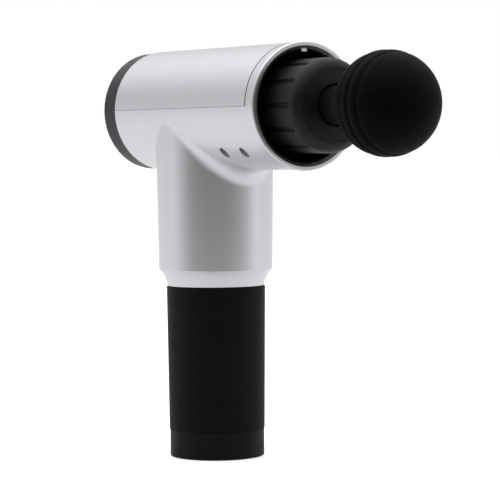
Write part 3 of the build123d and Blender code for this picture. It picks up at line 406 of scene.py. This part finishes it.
def ball_outline():
    lip = stem_radius + 0.15 * MM
    rear = math.degrees(math.acos(-math.sqrt(1 - (lip + 0.6 * MM) ** 2 / ball_radius ** 2)))
    pole = 1e-5
    outside = []
    steps = 260
    for i in range(steps):
        angle = math.radians(rear * (1 - i / steps))
        x = ball_x + ball_radius * math.cos(angle)
        r = (ball_radius - ball_ridges(x)) * math.sin(angle)
        outside.append((x, r))
    outside.append((ball_x + ball_radius, pole))
    inner_arc = arc_points((ball_x, 0), ball_radius - skin_thickness, 0, rear - 4, 60)
    inside = [(x, max(r, pole)) for x, r in inner_arc]
    return outside + inside + [(inside[-1][0], lip), (outside[0][0] - 0.1 * MM, lip)]


ball_skin = new_piece("ball_skin", turned_mesh("ball_skin", ball_outline(), "x", 160), ball, "massage_head")
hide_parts("head_cover")


# ---------------------------------------------------------------- ribbed nose sleeve

sleeve_radius = (sleeve_high.z - sleeve_low.z) / 2
nose_round = 6.0 * MM
sleeve_wall = 1.5 * MM
collar_seat = (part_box("nose_collar")[1].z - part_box("nose_collar")[0].z) / 2 + 0.1 * MM
groove_count = 12
groove_half = 1.35 * MM
groove_depth = 1.3 * MM
groove_end = sleeve_high.x - nose_round - 0.6 * MM
groove_bank = 0.55 * MM


def sleeve_grooves(along, radius, angle):
    """Longitudinal grooves with a flat floor, sloping banks and a rounded front end."""
    if radius < sleeve_radius - nose_round:
        return radius
    pitch = 2 * math.pi / groove_count
    off = abs((angle + pitch / 2) % pitch - pitch / 2) * sleeve_radius
    beyond = max(0.0, along - (groove_end - groove_half))
    distance = math.hypot(off, beyond)
    depth = groove_depth * (1 - smooth_step(distance, groove_half - groove_bank, groove_half + 0.15 * MM))
    return radius - depth


shoulder_x = sleeve_high.x - nose_round
sleeve_outline = [(sleeve_low.x, sleeve_radius)]
rib_steps = 70
sleeve_outline += [(sleeve_low.x + (shoulder_x - sleeve_low.x) * i / rib_steps, sleeve_radius)
                   for i in range(1, rib_steps)]
sleeve_outline += arc_points((shoulder_x, sleeve_radius - nose_round), nose_round, 90, 4, 18)
seat_step = 1.2 * MM
sleeve_outline += [(sleeve_high.x - 0.2 * MM, collar_seat), (sleeve_high.x - 3.0 * MM, collar_seat),
                   (sleeve_high.x - 3.2 * MM, collar_seat - seat_step),
                   (shoulder_x - seat_step, collar_seat - seat_step),
                   (shoulder_x - 1.6 * MM, sleeve_radius - groove_depth - sleeve_wall),
                   (sleeve_low.x, sleeve_radius - groove_depth - sleeve_wall)]
sleeve_mesh = turned_mesh("sleeve_skin", sleeve_outline, "x", 480, sleeve_grooves)
sleeve_skin = new_piece("sleeve_skin", sleeve_mesh, nose, "root")
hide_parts("nose_sleeve")


# ---------------------------------------------------------------- seam seal and screw wells: painted shadow and painted shade

barrel_radius = cover_high.z - axis_z
# a thin black strip in the top cover's front seam, a little proud of the skin: painted shadow filling the
# seam gap
shadow_seal_width = 0.7 * MM
shadow_seal_front = cover_high.x + 0.55 * MM
shadow_seal_steps = 96
shadow_seal_root = barrel_radius - 1.6 * MM
shadow_seal_lip = barrel_radius + 0.04 * MM
shadow_seal_bmesh = bmesh.new()
shadow_seal_rows = []
for step in range(shadow_seal_steps + 1):
    angle = math.pi * step / shadow_seal_steps
    shadow_seal_rows.append([
        shadow_seal_bmesh.verts.new((x, r * math.cos(angle), axis_z + r * math.sin(angle)))
        for x, r in ((shadow_seal_front - shadow_seal_width, shadow_seal_root), (shadow_seal_front, shadow_seal_root),
                     (shadow_seal_front, shadow_seal_lip), (shadow_seal_front - shadow_seal_width, shadow_seal_lip))])
for first, second in zip(shadow_seal_rows, shadow_seal_rows[1:]):
    for corner in range(4):
        ahead = (corner + 1) % 4
        shadow_seal_bmesh.faces.new((first[corner], first[ahead], second[ahead], second[corner]))
for row in (shadow_seal_rows[0], shadow_seal_rows[-1]):
    shadow_seal_bmesh.faces.new(row)
bmesh.ops.recalc_face_normals(shadow_seal_bmesh, faces=shadow_seal_bmesh.faces)
seam_shadow_seal_mesh = bpy.data.meshes.new("seam_shadow_seal")
shadow_seal_bmesh.to_mesh(seam_shadow_seal_mesh)
shadow_seal_bmesh.free()
seam_shadow_seal = new_piece("seam_shadow_seal", seam_shadow_seal_mesh, seal, "root", smooth=False)

screw_low, screw_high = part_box("housing_screws")
head_radius = 2.6 * MM
head_height = 1.8 * MM
well_outer = 2.72 * MM
well_inner = 2.62 * MM
well_inset = 0.15 * MM
well_steps = 48


def recess_shade_well(x, y):
    """A mid-grey sleeve in a screw's recess, cut flush with the barrel's round skin: painted shade over the
    silver recess walls.
    """
    well = bmesh.new()
    rows = []
    for step in range(well_steps):
        angle = 2 * math.pi * step / well_steps
        row = []
        for radius, mouth in ((well_outer, False), (well_inner, False),
                              (well_inner, True), (well_outer, True)):
            px, py = x + radius * math.cos(angle), y + radius * math.sin(angle)
            skin = axis_z - math.sqrt(barrel_radius ** 2 - py ** 2) + well_inset
            row.append(well.verts.new((px, py, skin if mouth else screw_low.z + head_height)))
        rows.append(row)
    for first, second in zip(rows, rows[1:] + rows[:1]):
        for corner in range(4):
            ahead = (corner + 1) % 4
            well.faces.new((first[corner], first[ahead], second[ahead], second[corner]))
    bmesh.ops.recalc_face_normals(well, faces=well.faces)
    made = bpy.data.meshes.new("recess_shade_well")
    well.to_mesh(made)
    well.free()
    piece = new_piece("recess_shade_well", made, recess_shade_plastic, "root")


for x in (screw_low.x + head_radius, screw_high.x - head_radius):
    for y in (screw_low.y + head_radius, screw_high.y - head_radius):
        recess_shade_well(x, y)


# ---------------------------------------------------------------- handle grip

grip_top = (grip_high.x - grip_low.x) / 2
grip_bottom = grip_top - 0.85 * MM
grip_core = 24.7 * MM
edge = 0.7 * MM
low, high = grip_low.z, grip_high.z
grip_outline = arc_points((low + edge, grip_bottom - edge), edge, 180, 90, 8)
grip_steps = 40
grip_outline += [(low + edge + (high - low - 2 * edge) * i / grip_steps,
                  grip_bottom + (grip_top - grip_bottom) * i / grip_steps)
                 for i in range(1, grip_steps)]
grip_outline += arc_points((high - edge, grip_top - edge), edge, 90, 0, 8)
grip_outline += [(high, grip_core), (low, grip_core)]
grip_skin = new_piece("grip_skin", turned_mesh("grip_skin", grip_outline, "z", 192), grip, "battery")
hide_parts("grip_sleeve")


# ---------------------------------------------------------------- touch display on the rear face

lit = glow("display_light", (0.75, 0.9, 1.0), 1.6)
rear_x = lens_low.x
mark_depth = 0.12 * MM


def plate(name, outlines, material):
    """Thin raised shapes on the rear glass, from outlines of (y, height) points in metres."""
    mesh = bmesh.new()
    for outline in outlines:
        face = mesh.faces.new([mesh.verts.new((rear_x, y, axis_z + z)) for y, z in outline])
        for vertex in bmesh.ops.extrude_face_region(mesh, geom=[face])["geom"]:
            if isinstance(vertex, bmesh.types.BMVert):
                vertex.co.x -= mark_depth
    bmesh.ops.recalc_face_normals(mesh, faces=mesh.faces)
    made = bpy.data.meshes.new(name)
    mesh.to_mesh(made)
    mesh.free()
    return new_piece(name, made, material, "root", smooth=False)


def bar(y, z, length, width, turn=0.0):
    """A segment with pointed ends, as on a seven-segment digit."""
    half, tip = length / 2, width / 2
    points = [(-half, 0), (-half + tip, tip), (half - tip, tip),
              (half, 0), (half - tip, -tip), (-half + tip, -tip)]
    c, s = math.cos(math.radians(turn)), math.sin(math.radians(turn))
    return [(y + c * a - s * b, z + s * a + c * b) for a, b in points]


def arc_band(radius, width, start, end, steps=24, at=(0, 0)):
    """A curved band, angles in degrees from +Y."""
    outer = [(at[0] + (radius + width / 2) * math.cos(math.radians(start + (end - start) * i / steps)),
              at[1] + (radius + width / 2) * math.sin(math.radians(start + (end - start) * i / steps)))
             for i in range(steps + 1)]
    inner = [(at[0] + (radius - width / 2) * math.cos(math.radians(end + (start - end) * i / steps)),
              at[1] + (radius - width / 2) * math.sin(math.radians(end + (start - end) * i / steps)))
             for i in range(steps + 1)]
    return outer + inner


digit = 4.4 * MM
stroke = 0.9 * MM
digit_offset, digit_height = 3.6 * MM, 7.0 * MM
digit_bars = []
for centre in (-digit_offset, digit_offset):
    segments = [(0, digit, 0), (0, 0, 0), (0, -digit, 0)] + [
        (side * digit / 2, up * digit / 2, 90) for side in (-1, 1) for up in (-1, 1)]
    skipped = 1 if centre < 0 else None
    for number, (y, z, turn) in enumerate(segments):
        if number != skipped:
            digit_bars.append(bar(centre + y, digit_height + z, digit - 0.25 * MM, stroke, turn))
plate("speed_digits", digit_bars, lit)
plate("level_bars", [arc_band(21.5 * MM, 1.6 * MM, a - 6.5, a + 6.5) for a in range(34, 147, 16)], lit)
cell_half, cell_low, cell_high = 1.5 * MM, -6.2 * MM, -4.2 * MM
plate("battery_bars",
      [[(y - cell_half, cell_low), (y + cell_half, cell_low),
        (y + cell_half, cell_high), (y - cell_half, cell_high)]
       for y in (-6 * MM, -2 * MM, 2 * MM, 6 * MM)], lit)
key_z, key_y = -16 * MM, 11 * MM
ring_line, sign_line = 0.55 * MM, 0.6 * MM
plate("touch_keys",
      [arc_band(2.5 * MM, ring_line, 120, 420, at=(0, key_z)),
       bar(0, key_z + 1.9 * MM, 2.6 * MM, ring_line, 90),
       bar(-key_y, key_z + 3 * MM, 3.4 * MM, sign_line),
       bar(key_y, key_z + 3 * MM, 3.4 * MM, sign_line),
       bar(key_y, key_z + 4.0 * MM, 1.4 * MM, sign_line, 90),
       bar(key_y, key_z + 2.0 * MM, 1.4 * MM, sign_line, 90)],
      lit)


# ---------------------------------------------------------------- camera, floor and light

view_azimuth = math.radians(55.78)
view_elevation = math.radians(2.477)
view_roll = math.radians(-0.494)
view_distance = 1.2692
view_side = 18.72 * MM
view_height = 112.1 * MM

right = Vector((math.cos(view_azimuth), math.sin(view_azimuth), 0))
back = Vector((math.sin(view_azimuth) * math.cos(view_elevation),
               -math.cos(view_azimuth) * math.cos(view_elevation), math.sin(view_elevation)))
up = back.cross(right)
target = right * view_side + Vector((0, 0, view_height))
side = right * math.cos(view_roll) + up * math.sin(view_roll)
above = up * math.cos(view_roll) - right * math.sin(view_roll)
turn = Matrix((side, above, back)).transposed().to_4x4()
camera = bpy.data.objects.new("camera", bpy.data.cameras.new("camera"))
camera.data.sensor_width = 36
camera.data.lens = 167.7
camera.matrix_world = Matrix.Translation(target + back * view_distance) @ turn
scene.collection.objects.link(camera)
scene.camera = camera

floor_size = 40.0
floor_mesh = bpy.data.meshes.new("floor")
half = floor_size / 2
floor_corners = [(-half, -half, 0), (half, -half, 0), (half, half, 0), (-half, half, 0)]
floor_mesh.from_pydata(floor_corners, [], [(0, 1, 2, 3)])
# pale paper with painted shade, darker towards the front so that the gun's own reflections stay soft
floor_paper = Graph("floor_paper")
paper_tone = floor_paper.colours(floor_paper.span(floor_paper.noise(0.3), 0, 1), (0.79, 0.79, 0.79),
                                 (0.81, 0.81, 0.81))
towards = floor_paper.add("ShaderNodeVectorMath", operation="DOT_PRODUCT")
towards.inputs[1].default_value = (back.x, back.y, 0)
floor_paper.join(floor_paper.place, towards.inputs[0])
painted_shade_share = floor_paper.span(towards.outputs["Value"], 0.0, 1.0, 0.15, 0.9)
painted_shade_floor = floor_paper.add("ShaderNodeMix", data_type="RGBA")
painted_shade_floor.inputs[7].default_value = (0.16, 0.16, 0.16, 1)
floor_paper.join(painted_shade_share, painted_shade_floor.inputs[0])
floor_paper.join(paper_tone, painted_shade_floor.inputs[6])
floor_paper.join(painted_shade_floor.outputs[2], floor_paper.shader.inputs["Base Color"])
floor_paper.set(Roughness=0.85, Specular_IOR_Level=0.2)
floor_paper.shader.inputs["Emission Color"].default_value = (1, 1, 1, 1)
# seen directly, the paper gets a painted glow, stronger over the painted shade, so that it looks evenly
# white
seen_directly = floor_paper.add("ShaderNodeLightPath").outputs["Is Camera Ray"]
painted_glow_level = floor_paper.math("ADD", floor_paper.math("MULTIPLY", painted_shade_share, 0.5), 0.5)
floor_paper.join(floor_paper.math("MULTIPLY", seen_directly, painted_glow_level),
                 floor_paper.shader.inputs["Emission Strength"])
floor = new_piece("floor", floor_mesh, floor_paper.material, None, smooth=False)


gun_middle = Vector((0.02, 0, 0.13))


def softbox(name, azimuth, elevation, distance, width, height, power):
    """An area light that faces the gun, placed round it from the camera's own direction."""
    a, e = view_azimuth + math.radians(azimuth), math.radians(elevation)
    away = Vector((math.sin(a) * math.cos(e), -math.cos(a) * math.cos(e), math.sin(e)))
    lamp_data = bpy.data.lights.new(name, "AREA")
    lamp_data.shape = "RECTANGLE"
    lamp_data.size, lamp_data.size_y = width, height
    lamp_data.energy = power
    light = bpy.data.objects.new(name, lamp_data)
    light.location = gun_middle + away * distance
    light.rotation_euler = away.to_track_quat("Z", "Y").to_euler()
    scene.collection.objects.link(light)


softbox("left_box", -75, 20, 1.4, 0.9, 1.1, 0.8)
softbox("right_box", 85, 12, 1.5, 0.9, 1.1, 0.5)
softbox("top_box", -10, 80, 1.2, 1.2, 1.0, 1.2)

# the studio round the gun: bright walls and ceiling, darker where the camera stands
wall_light, dark_light, ceiling_light = 0.655, 0.145, 0.98
world = bpy.data.worlds.new("studio")
world.use_nodes = True
scene.world = world
tree = world.node_tree


def world_node(kind, **settings):
    made = tree.nodes.new(kind)
    for key, value in settings.items():
        setattr(made, key, value)
    return made


def world_ramp(value, start, end, low, high):
    ramp = world_node("ShaderNodeMapRange", interpolation_type="SMOOTHSTEP")
    for key, number in (("From Min", start), ("From Max", end), ("To Min", low), ("To Max", high)):
        ramp.inputs[key].default_value = number
    tree.links.new(value, ramp.inputs["Value"])
    return ramp.outputs["Result"]


ray = world_node("ShaderNodeTexCoord").outputs["Generated"]
facing = world_node("ShaderNodeVectorMath", operation="DOT_PRODUCT")
studio_turn = math.radians(-10)
facing.inputs[1].default_value = Matrix.Rotation(studio_turn, 3, "Z") @ back
tree.links.new(ray, facing.inputs[0])
height = world_node("ShaderNodeSeparateXYZ")
tree.links.new(ray, height.inputs[0])
glow_sum = world_node("ShaderNodeMath", operation="ADD")
tree.links.new(world_ramp(facing.outputs["Value"], -0.1, 1.0, wall_light, dark_light), glow_sum.inputs[0])
tree.links.new(world_ramp(height.outputs["Z"], 0.25, 0.95, 0.0, ceiling_light), glow_sum.inputs[1])
sky = tree.nodes["Background"]
sky.inputs["Color"].default_value = (0.99, 0.99, 1.0, 1)
tree.links.new(glow_sum.outputs[0], sky.inputs["Strength"])
seen = world_node("ShaderNodeBackground")
seen.inputs["Color"].default_value = (1, 1, 1, 1)
path = world_node("ShaderNodeLightPath")
pick = world_node("ShaderNodeMixShader")
tree.links.new(path.outputs["Is Camera Ray"], pick.inputs["Fac"])
tree.links.new(sky.outputs[0], pick.inputs[1])
tree.links.new(seen.outputs[0], pick.inputs[2])
tree.links.new(pick.outputs[0], tree.nodes["World Output"].inputs["Surface"])
scene.view_settings.view_transform = "Standard"
